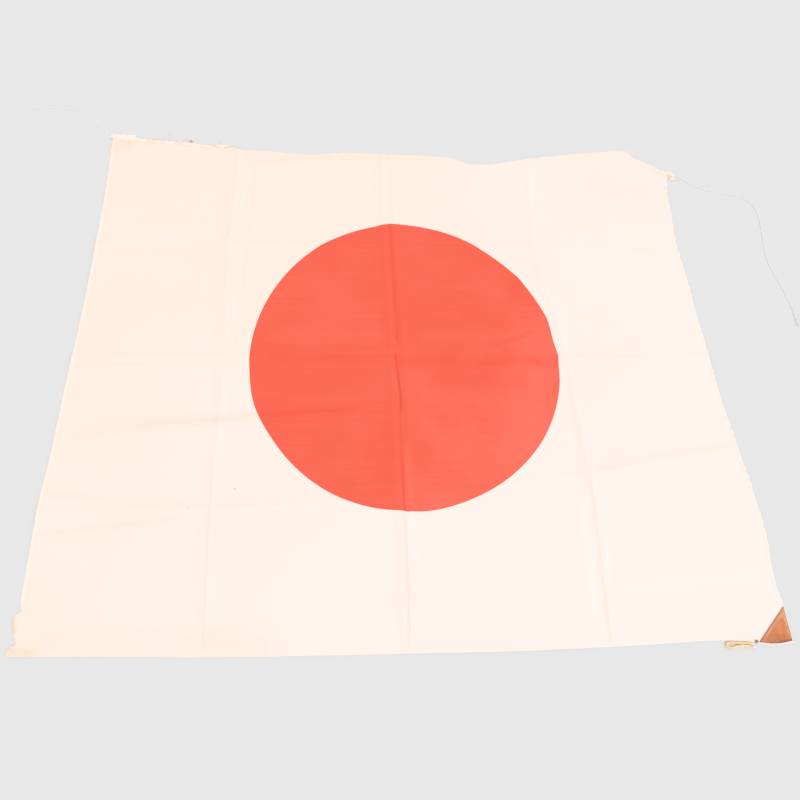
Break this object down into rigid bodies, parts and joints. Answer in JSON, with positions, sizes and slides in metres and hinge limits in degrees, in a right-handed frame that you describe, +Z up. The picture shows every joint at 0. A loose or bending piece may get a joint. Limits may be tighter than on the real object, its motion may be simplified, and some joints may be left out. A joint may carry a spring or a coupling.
{
  "type": "tattered cotton flag laid out flat",
  "caption": "Small worn cotton flag laid out flat, with pressed creases, a torn corner, a frayed edge, a corner patch, a tie loop and loose threads.",
  "frame": {"origin": "under the middle of the flag's box, on the surface that it lies on", "axes": "+X along the flag's length, towards the edge with the corner patch, +Y towards the frayed upper edge, +Z up"},
  "size_m": [1.1154, 0.7636, 0.0046],
  "materials": {
    "cotton": "thin plain-weave cotton, yellowed off-white, with a red disc dyed in its middle",
    "frayed_cotton": "loose, worn cotton weave and yarn ends, yellowed",
    "patch_leather": "thin brown leather, worn and darker at its rim",
    "scrap_cotton": "torn scrap of red and pink cotton",
    "tie_cord": "yellowed cotton cord",
    "knot_thread": "dark sewing thread",
    "pale_yarn": "loose cotton yarn, off-white with brown stretches",
    "pink_yarn": "loose cotton yarn, faded pink"
  },
  "bodies": {
    "root": {"cloth": "cotton", "frayed_edge": "frayed_cotton", "corner_patch": "patch_leather", "patch_remnant": "scrap_cotton", "tie_loop": "tie_cord", "tie_knot": "knot_thread", "loose_thread_right": "pale_yarn", "loose_thread_left": "pink_yarn"}
  },
  "joints": []
}
